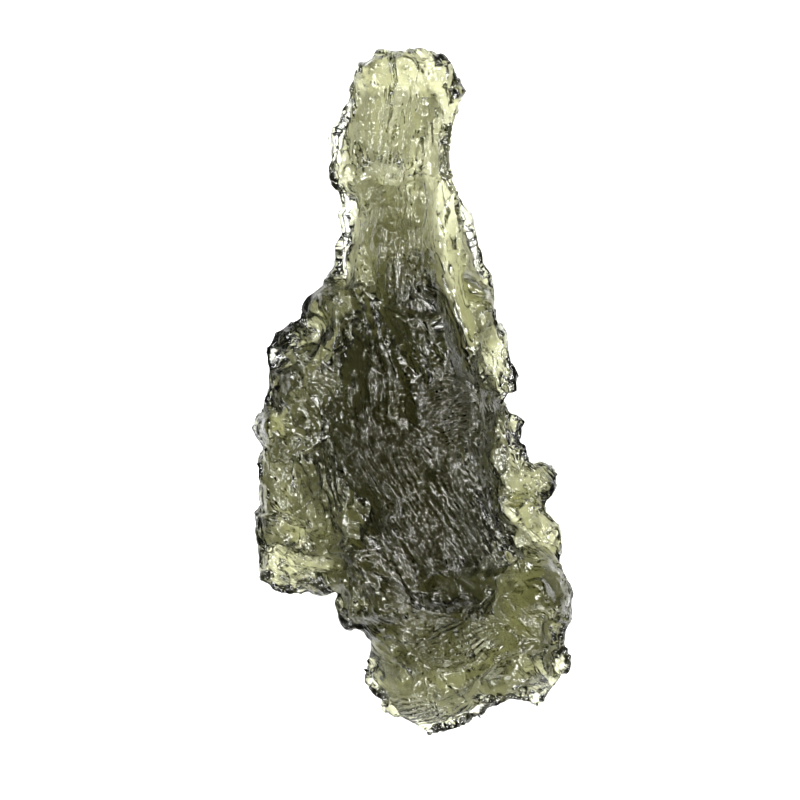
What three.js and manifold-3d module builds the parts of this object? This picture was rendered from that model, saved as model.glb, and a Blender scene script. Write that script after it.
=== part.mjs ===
// A moldavite tektite: one piece of olive-green natural glass, a flattened splash drop with a neck,
// whose skin is etched into pits, gutters and a fringe of short spines. It lies on its back.
// Millimetres. X runs across the stone, Y along it with the neck towards +Y, and Z up from the surface
// it lies on. The origin is the middle of its footprint, on that surface.
import * as THREE from "three";
import { mergeVertices } from "three/addons/utils/BufferGeometryUtils.js";
import Module from "manifold-3d";

// Driving dimensions.
const SHEET_THICKNESS = 3.6; // of the splashed drop away from its swells, inside its edge
const RIM_THICKNESS = 0.8; // along the fringe of spines
const EDGE_REACH = 2; // distance in from the rim over which the edge is rounded
const EDGE_BLUNTNESS = 2.8; // 1 is a straight bevel, more is a blunter edge
const LARGEST_BITE = 0.34; // the most that the hollows of one side take, as a share of the thickness there
const LEAST_WALL = 0.6; // glass left between a front hollow and a back one
const RIM_HEIGHT = 3.85; // of the rim's mid-line above the surface that the stone lies on
const RIM_WANDER = 0.7; // how far the rim rises and falls about that height
const FRONT_SHARE = 0.46; // of the thickness that stands above the rim's mid-line
const SKIN_STEP = 0.56; // between the points of the sculpted skin
const OUTLINE_STEP = 0.3; // between the outline's points where the distance to it is measured
const SPLINE_PARTS = 2; // straight pieces for each point of a round stretch of the outline

// The outline seen from above, clockwise from the crown's left horn. Round stretches are curves through
// a few points, and the stretches with spines are straight from point to point.
const OUTLINE_START = [-2.05, 20.28];
const OUTLINE = [
  {
    stretch: "crown",
    round: true,
    points: [[-1.2, 20.08], [0.1, 20.4], [0.75, 20.42], [2, 19.55], [2.88, 18]],
  },
  {
    stretch: "waist",
    round: true,
    points: [[2.85, 17.6], [2.2, 15.5], [2.08, 14.2], [2.2, 13], [3, 11.1]],
  },
  {
    stretch: "right shoulder",
    points: [
      [3.45, 10.65], [3.85, 9.7], [4.2, 8.6], [4.3, 7.75], [4.92, 6.95], [4.93, 6.1], [4.83, 5],
      [4.95, 4.2], [5.6, 3.45], [5.6, 2.8], [5.95, 1.6], [6.48, 0.85],
    ],
  },
  {
    stretch: "hooked spines",
    points: [
      [6.3, 0.65], [6.22, 0.3], [6.28, -0.05], [5.75, -0.25], [5.62, -0.68], [6, -1.4], [6.35, -1.6],
      [6.7, -1.9], [6.45, -2.2], [6.53, -2.75], [6.25, -3.15], [6.75, -3.2], [6.88, -3.65], [6.82, -3.95],
    ],
  },
  {
    stretch: "right ear",
    round: true,
    points: [[7.2, -4.3], [7.95, -4.28], [8.62, -4.95], [8.3, -6.2], [8, -6.45]],
  },
  {
    stretch: "right flank",
    points: [
      [7.95, -6.9], [8, -7.25], [8.35, -7.55], [8.6, -8.05], [9.08, -8.55], [8.92, -9.3], [8.9, -10.3],
      [9.35, -11.5], [9.6, -12], [9.62, -12.8], [9.55, -13.3], [9.25, -13.9], [9.05, -15.1], [9.45, -16],
      [9.35, -16.4], [9.15, -16.65], [8.75, -16.85], [8.25, -17.9], [7.95, -18.5], [7.6, -18.9],
    ],
  },
  { stretch: "bottom bay", round: true, points: [[6.3, -18.62], [5.4, -18.62], [4.6, -18.9], [4.1, -19.4]] },
  {
    stretch: "broken foot",
    points: [
      [3, -19.8], [1.9, -20.25], [1.05, -20.42], [0.5, -20.05], [-0.1, -19.6], [-0.9, -19.3],
      [-1.45, -19], [-1.5, -18.35], [-2.1, -18], [-2.65, -17.4], [-2.7, -17.1], [-2.4, -16],
    ],
  },
  {
    stretch: "heel",
    round: true,
    points: [[-2.28, -15.2], [-2.4, -14.6], [-3, -14], [-3.7, -14], [-4.05, -13.7]],
  },
  {
    stretch: "lower lobe",
    points: [
      [-4.2, -13.1], [-4.4, -12.6], [-4.4, -12.1], [-4.65, -11.85], [-5.55, -12.1], [-6.1, -11.95],
      [-6.6, -12.1], [-7.8, -12], [-8.3, -11.8], [-8.4, -11.5], [-8.9, -11.1], [-9.25, -10.3],
      [-9, -9.8], [-9.15, -8.7], [-9.45, -8], [-9.4, -7.4], [-9.1, -6.8], [-9.05, -5.6],
    ],
  },
  { stretch: "left knob", round: true, points: [[-9.1, -5], [-9.3, -4.4], [-9.05, -3.6], [-8.75, -3.3]] },
  {
    stretch: "left ear",
    round: true,
    points: [[-8.85, -3.1], [-9.25, -2.8], [-9.45, -2.1], [-9.1, -1.45], [-8.75, -1], [-8.5, -0.4]],
  },
  {
    stretch: "left shoulder",
    points: [
      [-8.4, 0.7], [-8.25, 1.8], [-7.8, 3.15], [-7.6, 3.5], [-6.9, 3.95], [-6.15, 4.7], [-5.95, 5.2],
      [-5.5, 5.85], [-5.2, 6.2], [-5.15, 6.7], [-4.95, 7.1], [-4.6, 7.4],
    ],
  },
  {
    stretch: "neck's thin side",
    points: [
      [-4.45, 8.4], [-4.4, 9], [-4.2, 9.6], [-4.35, 10.6], [-4.15, 11], [-4.35, 12], [-4.9, 12.7],
      [-5, 13.5], [-4.85, 15.1], [-4.7, 15.95], [-4.15, 16.8], [-3.65, 18.2], [-3.4, 19], [-2.65, 19.55],
      OUTLINE_START,
    ],
  },
];

// Swells, where the drop is thicker than a sheet, and its thinner neck: the middle, half the length and half
// the width, how far the length is turned from +Y towards +X in degrees, and how much thicker it is there.
const SWELLS = [
  { name: "core", at: [0.6, -4], half: [10.8, 4], turn: -7, rise: 3.7 },
  { name: "left body", at: [-5, -1.6], half: [6.4, 3.6], turn: 5, rise: 2.2 },
  { name: "heel", at: [-2.4, -11.8], half: [2.8, 2.6], turn: 0, rise: 2 },
  { name: "right flank", at: [7.6, -12.6], half: [3.4, 2.6], turn: 0, rise: 1.3 },
  { name: "foot", at: [2.6, -16.4], half: [2.8, 5], turn: 0, rise: 1.2 },
  { name: "neck", at: [-0.6, 13.4], half: [8.4, 4.6], turn: 0, rise: -0.7 },
];

// Hollows scooped out of each side, stated as the swells are, with how deep they are.
const FRONT_SCOOPS = [
  { name: "crown window", at: [1.8, 17.3], half: [1.3, 0.9], turn: 0, depth: 0.55 },
  { name: "knob left face", at: [-3.7, 16.4], half: [2.4, 1.1], turn: 20, depth: 0.6 },
  { name: "knob flute", at: [-1.5, 15.6], half: [1.8, 0.9], turn: -8, depth: 0.3 },
  { name: "knob right face", at: [1.4, 15], half: [1.6, 1], turn: 0, depth: 0.45 },
  { name: "waist pit", at: [-1.2, 12.7], half: [1.2, 0.9], turn: 80, depth: 0.55 },
  { name: "waist left face", at: [-3.8, 13.3], half: [1.8, 1.1], turn: -15, depth: 0.6 },
  { name: "neck left face", at: [-3.7, 9.4], half: [2.8, 1.2], turn: 5, depth: 0.65 },
  { name: "neck right edge", at: [3.6, 8.4], half: [2.3, 1], turn: 12, depth: 0.6 },
  { name: "shoulder window", at: [-5.8, 3.4], half: [1.5, 1.2], turn: 35, depth: 0.8 },
  { name: "big bowl", at: [-3.9, 1], half: [2.7, 2.2], turn: -10, depth: 1 },
  { name: "upper right face", at: [4.9, 1.4], half: [1.8, 1.1], turn: -10, depth: 0.7 },
  { name: "upper left hollow", at: [-6.9, -1.9], half: [2, 1.3], turn: -5, depth: 0.8 },
  { name: "lower left hollow", at: [-7.1, -5.6], half: [2.2, 1.4], turn: 5, depth: 0.9 },
  { name: "middle bowl", at: [-2.8, -6.6], half: [2.2, 1.6], turn: -30, depth: 0.6 },
  { name: "lobe bowl", at: [-5.7, -7.7], half: [1.8, 1.4], turn: 40, depth: 0.8 },
  { name: "lobe window", at: [-5.5, -10.3], half: [1.6, 1], turn: 80, depth: 0.7 },
  { name: "lobe edge", at: [-8, -9.9], half: [1.6, 1.1], turn: 60, depth: 0.4 },
  { name: "ear hollow", at: [6.6, -5.5], half: [1.6, 1.3], turn: -30, depth: 0.5 },
  { name: "flank hollow", at: [7.4, -9.4], half: [2.1, 1.4], turn: -20, depth: 0.6 },
  { name: "right bowl", at: [5.4, -11.8], half: [2.2, 1.5], turn: 60, depth: 0.8 },
  { name: "foot bowl", at: [3, -15.3], half: [3.1, 2.1], turn: 75, depth: 1.3 },
  { name: "apron", at: [6.2, -16.9], half: [2.4, 1.4], turn: 60, depth: 0.6 },
  { name: "heel hollow", at: [-2.6, -12.2], half: [1.4, 1.1], turn: 0, depth: 0.6 },
  { name: "edge pit", at: [8.3, -14.2], half: [1.3, 0.9], turn: 0, depth: 0.55 },
];
const BACK_SCOOPS = [
  { name: "back of the crown", at: [-0.6, 17.6], half: [1.9, 1.4], turn: 0, depth: 0.5 },
  { name: "back of the neck", at: [0.6, 11.2], half: [3, 1.3], turn: -8, depth: 0.6 },
  { name: "back of the left shoulder", at: [-4.8, 3.4], half: [2.4, 1.8], turn: 30, depth: 0.9 },
  { name: "back of the right shoulder", at: [3.6, 2.4], half: [2.6, 1.5], turn: -15, depth: 0.5 },
  { name: "back of the left flank", at: [-6.6, -4.4], half: [2.8, 1.7], turn: 0, depth: 0.6 },
  { name: "back of the right flank", at: [6.2, -8.6], half: [2.9, 1.8], turn: -20, depth: 0.5 },
  { name: "back of the lobe", at: [-6.2, -9.6], half: [1.9, 1.5], turn: 60, depth: 0.3 },
  { name: "back of the foot", at: [3.6, -15.6], half: [2.7, 1.8], turn: 60, depth: 0.4 },
  { name: "back of the middle", at: [-0.4, -6.4], half: [2.1, 1.3], turn: -25, depth: 0.7 },
];

// Gutters that the melt's flow left in the front: the line down the middle, half the width, and the depth.
const GUTTERS = [
  { name: "glossy", along: [[-2.7, 8.2], [-1.5, 3.3], [-0.6, 0], [-0.9, -2]], half: 1, depth: 0.4 },
  { name: "neck", along: [[1.8, 13.6], [1.7, 9], [2.6, 5.4], [3.6, 1.6]], half: 1.1, depth: 0.7 },
  { name: "flank", along: [[5.4, -2.6], [5.2, -4.8], [5.9, -7], [7.4, -8.6]], half: 1.1, depth: 0.4 },
];

// The raised strap on the neck: its middle line, half its width, and its height above the skin.
const STRAP = { along: [[-0.6, 12], [-0.4, 8.4], [0.3, 4.4]], half: 2.1, height: 0.65 };

// Flat breaks at the foot: a point on each plane, how much it rises for each millimetre of X and Y, and
// how far up the stone it reaches.
const BREAKS = [
  { name: "foot break", at: [1.2, -17.9, 5], rise: [-0.12, 0.75], top: -16 },
  { name: "heel break", at: [-1.1, -16.9, 4.8], rise: [0.8, 0.5], top: -13.4 },
];

// Etch pits all over, longer along the flow: their spacing, size and depth.
const PIT_SPACING = [1.9, 2.9];
const PIT_REACH = 0.78; // half a pit's size, in spacings
const PIT_DEPTH = 0.42;

// The stone's lines of flow run straight down the neck and bend to the right below it.
const FLOW_TOP = 12;
const FLOW_LEAN = 0.1;
const FLOW_BEND = 0.012;

const wasm = await Module();
wasm.setup();
const { clamp, degToRad, lerp, seededRandom, smoothstep } = THREE.MathUtils;

// The outline as a closed shape.
function outlineShape() {
  const shape = new THREE.Shape();
  shape.moveTo(...OUTLINE_START);
  for (const { round, points } of OUTLINE) {
    const way = points.map((p) => new THREE.Vector2(...p));
    if (round) shape.splineThru(way);
    else way.forEach((p) => shape.lineTo(p.x, p.y));
  }
  return shape;
}

const outline = outlineShape();
const corners = outline.getPoints(SPLINE_PARTS);
const rimPoints = outline.getSpacedPoints(Math.round(outline.getLength() / OUTLINE_STEP));

// True if a point lies inside the outline: a line to the right of it crosses the edge an odd number of times.
function inside(x, y) {
  return corners.reduce((within, a, i) => {
    const b = corners[(i + 1) % corners.length];
    const crosses = a.y > y !== b.y > y && x < a.x + ((y - a.y) / (b.y - a.y)) * (b.x - a.x);
    return crosses ? !within : within;
  }, false);
}

// How deep a point lies within the outline. It is close to the distance at the rim, and has no creases.
function depthInside(x, y) {
  if (!inside(x, y)) return 0;
  const pull = rimPoints.reduce((sum, p) => {
    const near = Math.hypot(p.x - x, p.y - y, OUTLINE_STEP / 2);
    return sum + OUTLINE_STEP / near ** 3;
  }, 0);
  return Math.SQRT2 / Math.sqrt(pull);
}

// How far a point is from the middle of an oval, in shares of its reach.
function ovalAt({ at, half, turn }, x, y) {
  const angle = degToRad(turn);
  const along = (x - at[0]) * Math.sin(angle) + (y - at[1]) * Math.cos(angle);
  const across = (x - at[0]) * Math.cos(angle) - (y - at[1]) * Math.sin(angle);
  return Math.hypot(along / half[0], across / half[1]);
}

// Each swell has a broad top and falls off around its reach, and the edge is rounded off to the rim.
function thicknessAt(depth, x, y) {
  const swell = SWELLS.reduce((sum, s) => sum + s.rise * Math.exp(-(ovalAt(s, x, y) ** 4)), 0);
  const share = 1 - (1 - clamp(depth / EDGE_REACH, 0, 1)) ** EDGE_BLUNTNESS;
  return lerp(RIM_THICKNESS, SHEET_THICKNESS + swell, share);
}

// The height of the rim's mid-line, which wanders up and down around the stone.
function middleAt(x, y) {
  return RIM_HEIGHT + RIM_WANDER * (0.6 * Math.sin(0.31 * y - 0.3) + 0.4 * Math.sin(0.7 * x + 0.35 * y));
}

// How much a round-bottomed hollow takes at a distance from its middle, in shares of its reach.
function hollow(q, depth) {
  return depth * Math.max(0, 1 - q * q);
}

function scoopAt(scoop, x, y) {
  return hollow(ovalAt(scoop, x, y), scoop.depth);
}

// The distance from a point to a line through several points.
function distanceTo(line, x, y) {
  const at = new THREE.Vector3(x, y, 0);
  const nearest = new THREE.Vector3();
  const parts = line.slice(1).map((end, i) => {
    const part = new THREE.Line3(new THREE.Vector3(...line[i], 0), new THREE.Vector3(...end, 0));
    return part.closestPointToPoint(at, true, nearest).distanceTo(at);
  });
  return Math.min(...parts);
}

function gutterAt({ along, half, depth }, x, y) {
  return hollow(distanceTo(along, x, y) / half, depth);
}

// The strap has a broad top and drops off at its edges.
function strapAt(x, y) {
  const q = distanceTo(STRAP.along, x, y) / STRAP.half;
  return STRAP.height * (1 - smoothstep(q, 0.3, 1));
}

// The lattice of etch pits is laid out across and along the flow, and each pit is shifted in its cell.
function pitsAt(x, y, seed) {
  const below = Math.max(0, FLOW_TOP - y);
  const across = (x - FLOW_LEAN * below - FLOW_BEND * below * below) / PIT_SPACING[0];
  const along = y / PIT_SPACING[1];
  let taken = 0;
  for (let i = Math.floor(across) - 1; i <= Math.floor(across) + 1; i++)
    for (let j = Math.floor(along) - 1; j <= Math.floor(along) + 1; j++) {
      const cell = seed + i * 131 + j * 977;
      const middle = [i + 0.15 + 0.7 * seededRandom(cell), j + 0.15 + 0.7 * seededRandom(cell + 7)];
      const size = PIT_REACH * lerp(0.6, 1, seededRandom(cell + 13));
      const q = Math.hypot(across - middle[0], along - middle[1]) / size;
      taken = Math.max(taken, hollow(q, PIT_DEPTH * (size / PIT_REACH)));
    }
  return taken;
}

const FRONT_SEED = 100003;
const BACK_SEED = 200017;

// The heights of the back and of the front over one point.
function reliefAt(x, y) {
  const depth = depthInside(x, y);
  const thickness = thicknessAt(depth, x, y);
  let front = middleAt(x, y) + FRONT_SHARE * thickness;
  let back = front - thickness;
  if (depth === 0) return { back, front };

  const bite = LARGEST_BITE * thickness;
  const behind = BACK_SCOOPS.reduce((most, s) => Math.max(most, scoopAt(s, x, y)), 0);
  back += Math.min(bite, behind + pitsAt(x, y, BACK_SEED));
  back = Math.max(0, back); // worn flat where it meets the surface

  const scooped = FRONT_SCOOPS.reduce((most, s) => Math.max(most, scoopAt(s, x, y)), 0);
  const drained = GUTTERS.reduce((most, g) => Math.max(most, gutterAt(g, x, y)), 0);
  front += strapAt(x, y);
  front -= Math.min(bite, scooped + drained + pitsAt(x, y, FRONT_SEED));
  for (const { at, rise } of BREAKS.filter(({ top }) => y < top)) {
    front = Math.min(front, at[2] + rise[0] * (x - at[0]) + rise[1] * (y - at[1]));
  }
  return { back, front: Math.max(front, back + LEAST_WALL) };
}

// A slab larger than the outline, whose upper and lower skins have the stone's relief.
function sculptedSlab() {
  const box = new THREE.Box2().setFromPoints(corners).expandByScalar(SKIN_STEP);
  const size = box.getSize(new THREE.Vector2());
  const middle = box.getCenter(new THREE.Vector2());
  const steps = size.clone().divideScalar(SKIN_STEP).ceil();
  const slab = new THREE.BoxGeometry(size.x, size.y, 1, steps.x, steps.y, 1).translate(middle.x, middle.y, 0);
  const skin = slab.getAttribute("position");
  for (let i = 0; i < skin.count; i++) {
    const { back, front } = reliefAt(skin.getX(i), skin.getY(i));
    skin.setZ(i, skin.getZ(i) > 0 ? front : back);
  }
  return slab;
}

// The outline as an upright block, taller than the stone.
function outlineBlock() {
  const tall = 4 * RIM_HEIGHT;
  const straight = { depth: tall, bevelEnabled: false, curveSegments: SPLINE_PARTS };
  return new THREE.ExtrudeGeometry(outline, straight).translate(0, 0, -tall / 4);
}

function solidFrom(geometry) {
  geometry.deleteAttribute("normal");
  geometry.deleteAttribute("uv");
  const merged = mergeVertices(geometry);
  return new wasm.Manifold(
    new wasm.Mesh({
      numProp: 3,
      vertProperties: merged.getAttribute("position").array,
      triVerts: new Uint32Array(merged.getIndex().array),
    }),
  );
}

function geometryFrom(solid) {
  const mesh = solid.getMesh();
  const geometry = new THREE.BufferGeometry();
  geometry.setAttribute("position", new THREE.BufferAttribute(mesh.vertProperties, 3));
  geometry.setIndex(new THREE.BufferAttribute(mesh.triVerts, 1));
  geometry.computeVertexNormals();
  return geometry;
}

const stone = new THREE.Mesh(
  geometryFrom(solidFrom(sculptedSlab()).intersect(solidFrom(outlineBlock()))),
  new THREE.MeshStandardMaterial({ color: 0x6a7046, roughness: 0.22, metalness: 0 }),
);
stone.name = "stone";

// The footprint's middle goes to the origin.
const footprint = new THREE.Box2().setFromPoints(corners).getCenter(new THREE.Vector2());
stone.position.set(-footprint.x, -footprint.y, 0);

const part = new THREE.Group();
part.add(stone);

export default part;
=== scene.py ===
"""A moldavite tektite: one piece of olive-green natural glass, lying on its back on a lit white surface."""

import math

import bpy
import numpy as np
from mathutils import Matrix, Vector, noise
from mathutils.bvhtree import BVHTree
from mathutils.kdtree import KDTree


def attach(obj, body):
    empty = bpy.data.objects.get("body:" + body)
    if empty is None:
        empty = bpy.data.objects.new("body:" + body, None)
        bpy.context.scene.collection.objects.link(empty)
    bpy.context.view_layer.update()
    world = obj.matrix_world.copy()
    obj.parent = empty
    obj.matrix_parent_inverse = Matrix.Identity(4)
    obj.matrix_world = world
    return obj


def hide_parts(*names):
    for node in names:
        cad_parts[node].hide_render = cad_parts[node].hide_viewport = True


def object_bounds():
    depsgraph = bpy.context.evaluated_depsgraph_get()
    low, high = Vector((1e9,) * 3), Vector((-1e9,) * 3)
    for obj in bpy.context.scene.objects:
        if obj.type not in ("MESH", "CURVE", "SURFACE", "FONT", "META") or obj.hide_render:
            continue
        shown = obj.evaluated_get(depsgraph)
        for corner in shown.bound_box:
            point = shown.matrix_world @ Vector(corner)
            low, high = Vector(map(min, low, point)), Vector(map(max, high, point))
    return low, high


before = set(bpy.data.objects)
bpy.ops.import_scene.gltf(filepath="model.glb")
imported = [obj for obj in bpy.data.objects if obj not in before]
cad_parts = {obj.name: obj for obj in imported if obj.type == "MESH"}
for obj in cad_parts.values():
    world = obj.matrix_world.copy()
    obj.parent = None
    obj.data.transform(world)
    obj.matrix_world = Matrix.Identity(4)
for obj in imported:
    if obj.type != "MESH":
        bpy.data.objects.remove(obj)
cad_low, cad_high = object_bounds()
scene = bpy.context.scene


# Camera
# The photo looks straight at the stone's front through a long lens, and has strong contrast. Its frame is
# 48 mm wide at the height of the stone's rim. The stone stands a little right of its middle and above it.
RIM_HEIGHT = 0.004
LENS, SENSOR = 150, 36
FIELD = 0.048
AIM_X, AIM_Y = -0.00078, -0.00057
EXPOSURE, GAMMA = 0.36, 0.8
camera = bpy.data.objects.new("camera", bpy.data.cameras.new("camera"))
camera.data.lens = LENS
camera.data.sensor_width = SENSOR
camera.data.clip_start = 0.001
camera.location = (AIM_X, AIM_Y, RIM_HEIGHT + FIELD * LENS / SENSOR)
scene.collection.objects.link(camera)
scene.camera = camera
scene.view_settings.view_transform = "Standard"
scene.view_settings.exposure = EXPOSURE
scene.view_settings.gamma = GAMMA


# Stone
# A flattened splash drop of natural silica glass that set in the air, with a neck at one end and a break at
# the other. The solid gives its outline, thickness and larger hollows, and its facets are rounded off first.
# Then its skin is etched, as acid in the soil did. Places and depths on the skin are in millimetres.
SKIN_VOXEL = 0.00009
ROUNDING_FACTOR, ROUNDING_TURNS = 0.5, 14
MM = 1000
form = bpy.data.objects.new("form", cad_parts["stone"].data.copy())
scene.collection.objects.link(form)
remesh = form.modifiers.new("even skin", "REMESH")
remesh.mode = "VOXEL"
remesh.voxel_size = SKIN_VOXEL
rounding = form.modifiers.new("rounding", "SMOOTH")
rounding.factor = ROUNDING_FACTOR
rounding.iterations = ROUNDING_TURNS
skin = bpy.data.meshes.new_from_object(form.evaluated_get(bpy.context.evaluated_depsgraph_get()))
bpy.data.objects.remove(form)

points = np.empty(len(skin.vertices) * 3, np.float32)
skin.vertices.foreach_get("co", points)
points = points.reshape(-1, 3).astype(float)
normals = np.empty(len(skin.vertices) * 3, np.float32)
skin.vertex_normals.foreach_get("vector", normals)
normals = normals.reshape(-1, 3).astype(float)
x, y, z = points.T * MM
facing = normals[:, 2]

CELL_PRIMES = np.array([73856093, 19349663, 83492791])
SEED_PRIME = 2654435761
MIXERS = ((15, 2246822519), (13, 3266489917))
WORD = 0xFFFFFFFF
LEAN_SPREAD = 44  # radians over the range of a chance value, so that neighbours lean all ways


def cups(space, seed):
    """How far each point is from the nearest of the scattered centres, one to a unit cell, that centre's
    own chance value, and the height of a flat facet there that leans its own way."""
    base = np.floor(space).astype(np.int64)
    nearest = np.full(len(space), 9.0)
    chance = np.zeros(len(space))
    lean = np.zeros(len(space))
    for step in np.ndindex(3, 3, 3):
        cell = base + np.array(step) - 1
        mixed = cell @ CELL_PRIMES + seed * SEED_PRIME
        draws = []
        for _ in range(4):
            for bits, factor in MIXERS:
                mixed = (mixed ^ (mixed >> bits)) * factor & WORD
            draws.append(mixed / WORD)
        offset = cell + np.stack(draws[:3], 1) - space
        away = np.linalg.norm(offset, axis=1)
        closer = away < nearest
        nearest[closer] = away[closer]
        chance[closer] = draws[3][closer]
        way = draws[3][closer] * LEAN_SPREAD
        lean[closer] = offset[closer, 0] * np.cos(way) + offset[closer, 1] * np.sin(way)
    return nearest, chance, lean


def wander(scale, shift):
    """Smooth noise from -1 to 1 over the stone, with features of this many millimetres."""
    at = points * MM / np.array(scale) + shift
    return np.array([noise.noise(Vector(p)) for p in at])


def rise(value, low, high):
    """0 up to low, 1 from high on, and a smooth step between them."""
    t = np.clip((value - low) / (high - low), 0, 1)
    return t * t * (3 - 2 * t)


def spot(middle, half, turn=0):
    """A round-topped patch of the front, 1 in its middle and 0 at its edge. Its half length and half width
    are given, and its length is turned from +Y towards +X."""
    c, s = math.cos(math.radians(turn)), math.sin(math.radians(turn))
    right, up = x - middle[0], y - middle[1]
    q = np.hypot((right * s + up * c) / half[0], (right * c - up * s) / half[1])
    return np.clip(1 - q * q, 0, 1) * front


def streak(line, half):
    """The same along a line through several points, with half its width."""
    nearest = np.full(len(x), 99.0)
    for (ax, ay), (bx, by) in zip(line, line[1:]):
        squared = (bx - ax) ** 2 + (by - ay) ** 2
        run = np.clip(((x - ax) * (bx - ax) + (y - ay) * (by - ay)) / squared, 0, 1)
        nearest = np.minimum(nearest, np.hypot(x - ax - run * (bx - ax), y - ay - run * (by - ay)))
    return np.clip(1 - (nearest / half) ** 2, 0, 1) * front


# Front and back, the neck, and the place across the lines of flow in the melt. These run straight down
# the neck and bend to the right below it.
FACE = (0.05, 0.4)
NECK = (5, 10)
FLOW_TOP, FLOW_LEAN, FLOW_BEND = 12, 0.1, 0.012
front = rise(facing, *FACE)
back = rise(-facing, *FACE)
neck = rise(y, *NECK)
below = np.maximum(0, FLOW_TOP - y)
across = x - FLOW_LEAN * below - FLOW_BEND * below**2

# How near the rim is, and how thick the glass behind each point.
RIM_FACING = 0.25
EDGE_INLAND = (0.5, 3.2)
THIN_WALL = (3.2, 5.6)
rim_points = np.abs(facing) < RIM_FACING
rim_tree = KDTree(int(rim_points.sum()))
for index, (px, py) in enumerate(zip(x[rim_points], y[rim_points])):
    rim_tree.insert((px, py, 0), index)
rim_tree.balance()
inland = np.array([rim_tree.find((px, py, 0))[2] for px, py in zip(x, y)])
edge = 1 - rise(inland, *EDGE_INLAND)
tree = BVHTree.FromPolygons(points, [p.vertices for p in skin.polygons])
wall = np.array(
    [tree.ray_cast(Vector(p - n * 1e-5), Vector(-n))[3] or 0 for p, n in zip(points, normals)]
) * MM
thin = 1 - rise(wall, *THIN_WALL)

# Streaks and hollows that the melt left smooth, fresh breaks at the foot, thin flanks beside the neck, a
# rough lobe at the lower left, and patches where the fine etching is strong or weak. The breaks and flanks
# have less of what marks the rim.
FRESH_EDGE_LOSS, FLANK_EDGE_LOSS = 0.6, 0.8
PATCH_LEAST, PATCH_RANGE = 0.35, 1.15
polish = np.max(
    [
        0.15 * streak([(-2.7, 7), (-2.2, 5), (-1.5, 3), (-1, 0)], 0.75),
        streak([(1.9, 12.5), (1.85, 8.5), (2.3, 6), (3.2, 2.8)], 0.9),
        0.25 * spot((3.2, -15.9), (2.4, 1.2), 75),
        spot((5.6, -17.2), (1.8, 1), 70),
    ],
    axis=0,
)
polish = rise(polish, 0, 0.5)
heel_break = spot((-1.5, -16.6), (2.3, 0.9), -20)
foot_break = spot((1.2, -18.9), (1.7, 2.6), 20)
fresh = rise(np.maximum(heel_break, foot_break), 0.02, 0.3)
flank = np.max(
    [
        streak([(3.5, 11.4), (3.9, 9), (4.1, 7)], 1),
        streak([(-3.9, 11.4), (-4.1, 9), (-4.3, 6.8)], 0.9),
        streak([(-4.4, 17.5), (-4.4, 14)], 0.8),
    ],
    axis=0,
)
edge *= (1 - FRESH_EDGE_LOSS * fresh) * (1 - FLANK_EDGE_LOSS * flank)
rough = spot((-6.7, -10.4), (2.8, 1.9), 80)
patchy = PATCH_LEAST + PATCH_RANGE * rise(wander((2, 3, 2), 41.5), -0.25, 0.3)

# Furrows that the flow combed into the front: where, which way they run, how far apart and half how deep.
# Each point has its place across the furrows, counted in furrows, and half their depth there.
COMB_WANDER = 0.5
COMB_FADE = (0, 0.4)
COMB_STRONG = (0.02, 0.05)
comb = np.zeros(len(x))
comb_depth = np.zeros(len(x))
for patch, turn, length, depth in (
    (spot((-0.7, 9), (4.6, 2)), 2, 0.34, 0.03),
    (spot((-0.8, 15.8), (2.8, 2.4)), 3, 0.4, 0.03),
    (spot((-1.3, -4.4), (2.2, 2)), -27, 0.36, 0.05),
    (spot((2, -8), (3, 3.4)), -30, 0.42, 0.035),
    (spot((2.2, -1), (2.6, 1.4)), 84, 0.36, 0.045),
    (spot((-2.6, -0.6), (1.6, 2.6)), -10, 0.45, 0.03),
    (spot((1.2, -18.9), (1.6, 2.6)), 68, 0.28, 0.02),
    (spot((3, -15.4), (1.8, 2.8), 10), 62, 0.36, 0.03),
    (spot((-5.6, -5), (3, 1.6)), -15, 0.45, 0.03),
):
    c, s = math.cos(math.radians(turn)), math.sin(math.radians(turn))
    sway = wander((length * 2, length * 6, length * 2), depth * 500 + turn)
    over = (x * c - y * s) / length + COMB_WANDER * sway
    depth_here = depth * rise(patch, *COMB_FADE)
    deeper = depth_here > comb_depth
    comb[deeper] = over[deeper]
    comb_depth[deeper] = depth_here[deeper]
combed = rise(comb_depth, *COMB_STRONG)

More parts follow.
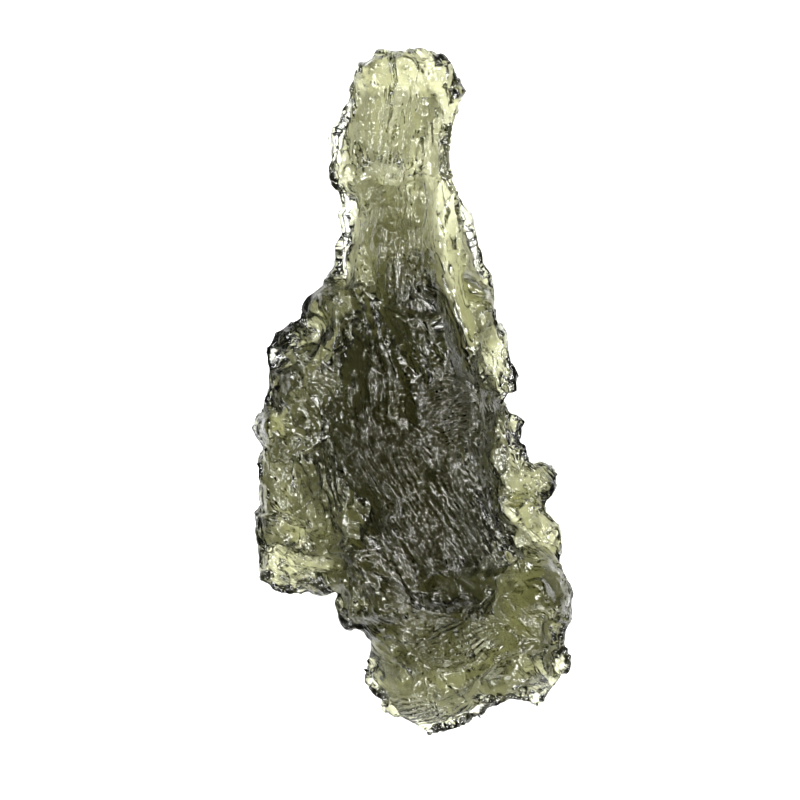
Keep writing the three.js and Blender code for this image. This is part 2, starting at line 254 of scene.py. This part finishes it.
# Cups that meet in sharp ridges, and facets that lean this way and that, in three sizes. Each has its
# size, how much longer it is along the flow, its depth and lean, and its share in the neck, towards the rim
# and where the skin is smooth. The skin starts a little above the solid, so that it ends up around it.
START_RAISE = 0.14
CUP_REACH = 0.85
CUP_BEND = 0.35
FRESH_CALM, COMB_CALM = 0.85, 0.6
BACK_MORE, THIN_MORE = 0.4, 0.6
EDGE_FACET_LOSS, NECK_FACET_LOSS = 0.8, 0.6
taken = np.full(len(x), -START_RAISE)
for size, stretch, depth, tilt, neck_share, edge_share, polish_share, seed in (
    (1.8, 1.5, 0.26, 0.26, 0.8, 1.8, 0.7, 11),
    (0.75, 1.6, 0.12, 0.16, 1.0, 2.2, 0.4, 12),
    (0.36, 1.3, 0.055, 0.08, 1.1, 1.6, 0.3, 13),
):
    bend = CUP_BEND * size
    space = np.stack(
        (
            across + bend * wander((size, size * 2, size), 3.1 * seed),
            y / stretch + bend * wander((size, size * 2, size), 7.7 * seed),
            z,
        ),
        1,
    )
    far, chance, lean = cups(space / size, seed)
    cup = np.clip(1 - (far / CUP_REACH) ** 2, 0, 1)
    share = (1 + (neck_share - 1) * neck) * (1 + (polish_share - 1) * polish)
    share *= (1 - FRESH_CALM * fresh) * (1 - COMB_CALM * combed) * (1 + BACK_MORE * back)
    if size < 1:
        share *= patchy
    hollow = depth * (0.4 + 0.6 * chance) * cup
    hollow *= (1 + (edge_share - 1) * edge) * (1 + THIN_MORE * thin) * (1 + rough)
    facet = tilt * (0.2 + 1.2 * chance) * size * lean
    facet *= (1 - EDGE_FACET_LOSS * edge) * (1 - NECK_FACET_LOSS * neck)
    taken += share * (hollow + facet)

# Hollows and windows of the front: the middle of each, half its length and width, its turn and depth.
for middle, half, turn, depth in (
    ((-0.45, 18), (0.4, 0.3), 0, 0.3),
    ((-0.05, 15.3), (1.5, 0.3), 4, 0.25),
    ((1.7, 17.5), (0.9, 0.55), 0, 0.35),
    ((-1.2, 12.5), (0.35, 0.7), 0, 0.4),
    ((-5.8, 3.5), (1.2, 0.8), 35, 0.9),
    ((-7.6, 1.7), (0.8, 0.6), 10, 0.8),
    ((-5.95, 0.2), (1.4, 0.5), -13, 0.8),
    ((-4.4, 0.3), (1.3, 0.5), -8, 0.3),
    ((-3.2, 0), (1.4, 0.5), -8, 0.3),
    ((-2, 0.2), (1.3, 0.5), -8, 0.3),
    ((-1.5, -1.3), (0.8, 0.8), 0, 0.35),
    ((-6.3, -2.6), (1.1, 0.7), 10, 0.8),
    ((-3, -7), (1.4, 1), -20, 0.3),
    ((-5.4, -10.4), (0.5, 0.9), 0, 1.1),
    ((-8, -9.5), (0.5, 0.6), 0, 1),
    ((-6.9, -10), (0.5, 0.5), 0, 1),
    ((6, -7), (1.5, 0.7), -25, 0.6),
    ((8, -14.4), (1.1, 0.5), 0, 0.5),
    ((8.5, -16), (0.9, 0.7), 0, 1),
):
    taken += depth * spot(middle, half, turn)

# Long hollows where the glass lets more light through: the glossy gutter, the crescent and lip of the lower
# bowl, the right flank and the channel beside the band. Each has its line, half its width and its depth. The
# thin flanks of the neck and the broad hollow of the left side follow.
FLANK_DEPTH = 1.2
LEFT_DEPTH = 0.9
for line, half, depth in (
    ([(-2.6, 6.2), (-2, 4.5), (-1.5, 3), (-1, 0)], 0.8, 0.4),
    ([(1.6, -16.9), (2.8, -16.8), (4.2, -16)], 0.6, 0.8),
    ([(4.2, -17.6), (5.6, -17.2), (6.8, -16.2)], 0.9, 0.5),
    ([(4.6, 3), (5, 0), (5, -4), (6, -7)], 1, 0.8),
    ([(1.9, 12), (1.85, 8.5), (2.3, 6), (3.2, 2.8)], 0.8, 0.5),
):
    taken += depth * streak(line, half)
taken += FLANK_DEPTH * flank + LEFT_DEPTH * spot((-5.8, -2.5), (6, 2.6))

# Ridges that stand above the skin: the line of each crest, half its width and its height.
for line, half, height in (
    ([(1.5, -12), (4, -12.2), (7, -12.3)], 1.1, 0.9),
    ([(3.4, 8), (3.7, 6)], 0.7, 0.7),
    ([(-7.4, -8.9), (-5.4, -9.2), (-3.6, -9.6)], 0.8, 0.4),
    ([(1.6, -17.8), (3.2, -17.4), (4, -16.6), (4.8, -15.9), (7, -15.2)], 0.5, 0.3),
    ([(-8, 2.2), (-6.2, 4.9), (-4.6, 5.4)], 0.9, 0.45),
    ([(-2.6, 18.9), (-0.6, 19.5), (1.6, 19.2), (2.8, 18)], 0.9, 0.4),
):
    taken -= height * streak(line, half)

# The raised band down the neck, with a crisp right edge and a soft left one, and the swell of the foot's
# break.
BAND_HEIGHT = 0.32
BREAK_SWELL = 0.35
band_edge = np.interp(y, [3.2, 4.3, 5.2, 6, 7, 8.5, 10], [2.9, 2.4, 2, 1.6, 1.35, 1.1, 1.05])
band = rise(band_edge - x, -0.1, 0.25) * rise(x, -3.6, -1.8)
band *= rise(y, 2.5, 5) * (1 - rise(y, 12.1, 12.8)) * front
taken -= BAND_HEIGHT * band
taken -= BREAK_SWELL * spot((1.2, -18.7), (1.5, 2.6), 20)

# The highest crests are worn down to the level of the solid's top, and no hollow takes more than a share of
# the wall. Towards the rim as much stands up in knobs as is eaten away. The rim itself is drawn in a little,
# and the faces beside it swell, so that it stays thick.
CREST_WEAR = 0.4
CREST_HEIGHT = (6.6, 7.6)
LARGEST_BITE = 0.36
BRINK = (0.15, 0.75)
RIM_DRAW, RIM_SWELL = 0.17, 0.4
taken += CREST_WEAR * rise(z, *CREST_HEIGHT) * front
bite = LARGEST_BITE * wall
taken = np.where(taken > 0, bite * (1 - np.exp(-taken / np.maximum(bite, 1e-3))), taken)
brink = 1 - rise(np.abs(facing), *BRINK)
taken -= edge * (np.average(taken, weights=edge) - RIM_DRAW + RIM_SWELL * (1 - brink))

moved = points - normals * taken[:, None] / MM
moved[:, 2] = np.clip(moved[:, 2], 0, cad_high[2])
skin.vertices.foreach_set("co", moved.astype(np.float32).ravel())
skin.update()
skin.polygons.foreach_set("use_smooth", np.ones(len(skin.polygons), bool))

# What the glass's finest grain needs to know at each point.
ETCH_POLISH = 0.75
flow = skin.attributes.new("flow", "FLOAT_VECTOR", "POINT")
flow.data.foreach_set("vector", np.stack((across, y, z), 1).astype(np.float32).ravel())
for name, values in (("comb", comb), ("comb_depth", comb_depth), ("etch", 1 - ETCH_POLISH * polish)):
    skin.attributes.new(name, "FLOAT", "POINT").data.foreach_set("value", values.astype(np.float32))

MOST_TRIANGLES = 190000
stone = bpy.data.objects.new("stone_glass", skin)
scene.collection.objects.link(stone)
fewer = stone.modifiers.new("fewer triangles", "DECIMATE")
fewer.ratio = min(1, MOST_TRIANGLES / (2 * len(skin.polygons)))
skin = bpy.data.meshes.new_from_object(stone.evaluated_get(bpy.context.evaluated_depsgraph_get()))
stone.modifiers.clear()
stone.data = skin

# The glass is clear and its olive green is all in the body, so thin windows and flanks are light and the
# thick middle is dark.
GLASS_TINT = (0.98, 0.985, 0.96, 1)
GLASS_ROUGHNESS = 0.17
GLASS_INDEX = 1.49
BODY_COLOUR = (0.456, 0.457, 0.25, 1)
BODY_DENSITY = 850
glass = bpy.data.materials.new("tektite_glass")
glass.use_nodes = True
nodes, links = glass.node_tree.nodes, glass.node_tree.links
shader = nodes["Principled BSDF"]
shader.inputs["Base Color"].default_value = GLASS_TINT
shader.inputs["Roughness"].default_value = GLASS_ROUGHNESS
shader.inputs["IOR"].default_value = GLASS_INDEX
shader.inputs["Transmission Weight"].default_value = 1
absorption = nodes.new("ShaderNodeVolumeAbsorption")
absorption.inputs["Color"].default_value = BODY_COLOUR
absorption.inputs["Density"].default_value = BODY_DENSITY
links.new(absorption.outputs["Volume"], nodes["Material Output"].inputs["Volume"])


def at_point(name, output):
    """The socket of a value that is kept at each point of the skin."""
    node = nodes.new("ShaderNodeAttribute")
    node.attribute_name = name
    return node.outputs[output]


def maths(operation, *terms):
    """The socket of a sum's result, from other sockets and plain numbers."""
    node = nodes.new("ShaderNodeMath")
    node.operation = operation
    for socket, term in zip(node.inputs, terms):
        if isinstance(term, bpy.types.NodeSocket):
            links.new(term, socket)
        else:
            socket.default_value = term
    return node.outputs[0]


# Its finest grain: bowls of two sizes, crooked along the flow, and the combed furrows, in millimetres.
WARP_SCALE = 1.1
WARP_REACH = 0.7
flow_at = at_point("flow", "Vector")
warp = nodes.new("ShaderNodeTexNoise")
warp.inputs["Scale"].default_value = WARP_SCALE
links.new(flow_at, warp.inputs["Vector"])
warped = nodes.new("ShaderNodeVectorMath")
warped.operation = "MULTIPLY_ADD"
warped.inputs[1].default_value = (WARP_REACH,) * 3
links.new(warp.outputs["Color"], warped.inputs[0])
links.new(flow_at, warped.inputs[2])
bowls = []
for size, stretch, depth in ((0.26, 1.3, 0.04), (0.14, 1.2, 0.012)):
    scaled = nodes.new("ShaderNodeMapping")
    scaled.inputs["Scale"].default_value = (1 / size, 1 / (size * stretch), 1 / size)
    links.new(warped.outputs["Vector"], scaled.inputs["Vector"])
    cell_at = nodes.new("ShaderNodeTexVoronoi")
    cell_at.inputs["Scale"].default_value = 1
    links.new(scaled.outputs["Vector"], cell_at.inputs["Vector"])
    bowls.append(maths("MULTIPLY", maths("POWER", cell_at.outputs["Distance"], 2), depth))
grain = maths("MULTIPLY", maths("ADD", *bowls), at_point("etch", "Fac"))
wave = maths("SINE", maths("MULTIPLY", at_point("comb", "Fac"), 2 * math.pi))
furrowed = maths("MULTIPLY_ADD", wave, at_point("comb_depth", "Fac"), grain)
bump = nodes.new("ShaderNodeBump")
bump.inputs["Strength"].default_value = 1
bump.inputs["Distance"].default_value = 1 / MM
links.new(furrowed, bump.inputs["Height"])
links.new(bump.outputs["Normal"], shader.inputs["Normal"])
skin.materials.clear()
skin.materials.append(glass)
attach(stone, "root")
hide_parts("stone")


# Surface
# A plain white surface that the stone lies on. It is lit from above and glows a little, so that it shows
# white around the stone and through its thin parts.
SURFACE_HALF = 1.0
SURFACE_TOP = -0.00002
SURFACE_WHITE = (0.9, 0.9, 0.9, 1)
SURFACE_GLOW = 0.54
corners = ((-1, -1), (1, -1), (1, 1), (-1, 1))
surface_mesh = bpy.data.meshes.new("surface")
surface_mesh.from_pydata(
    [(SURFACE_HALF * right, SURFACE_HALF * up, SURFACE_TOP) for right, up in corners], [], [(0, 1, 2, 3)]
)
surface = bpy.data.objects.new("surface", surface_mesh)
white = bpy.data.materials.new("white_surface")
white.use_nodes = True
white_shader = white.node_tree.nodes["Principled BSDF"]
white_shader.inputs["Base Color"].default_value = SURFACE_WHITE
white_shader.inputs["Roughness"].default_value = 0.9
white_shader.inputs["Emission Color"].default_value = (1, 1, 1, 1)
white_shader.inputs["Emission Strength"].default_value = SURFACE_GLOW
surface_mesh.materials.append(white)
scene.collection.objects.link(surface)


# Light
# Four soft boxes around the camera and one low beyond the foot. The flats of the skin mirror them as
# grey-white flecks. The room is dim, most of all overhead.
for name, place, width, watts in (
    ("key box", (-0.1, 0.11, 0.22), 0.095, 0.68),
    ("far box", (0.09, 0.13, 0.22), 0.085, 0.46),
    ("side box", (0.15, -0.03, 0.22), 0.09, 0.54),
    ("low box", (-0.05, -0.14, 0.22), 0.09, 0.54),
    ("front box", (0.02, -0.3, 0.09), 0.12, 0.4),
):
    lamp = bpy.data.lights.new(name, "AREA")
    lamp.size = width
    lamp.energy = watts
    box = bpy.data.objects.new(name, lamp)
    box.location = place
    box.rotation_euler = (-Vector(place)).to_track_quat("-Z", "Y").to_euler()
    scene.collection.objects.link(box)

ROOM_LIGHT = 0.16
ROOM_LOW = (0.1, (1, 1, 1, 1))
ROOM_HIGH = (0.5, (0.3, 0.3, 0.3, 1))
world = bpy.data.worlds.new("room")
world.use_nodes = True
room_nodes, room_links = world.node_tree.nodes, world.node_tree.links
towards = room_nodes.new("ShaderNodeTexCoord")
split = room_nodes.new("ShaderNodeSeparateXYZ")
room_links.new(towards.outputs["Generated"], split.inputs["Vector"])
by_height = room_nodes.new("ShaderNodeValToRGB")
for stop, (position, colour) in zip(by_height.color_ramp.elements, (ROOM_LOW, ROOM_HIGH)):
    stop.position = position
    stop.color = colour
room_links.new(split.outputs["Z"], by_height.inputs["Fac"])
room_links.new(by_height.outputs["Color"], room_nodes["Background"].inputs["Color"])
room_nodes["Background"].inputs["Strength"].default_value = ROOM_LIGHT
scene.world = world
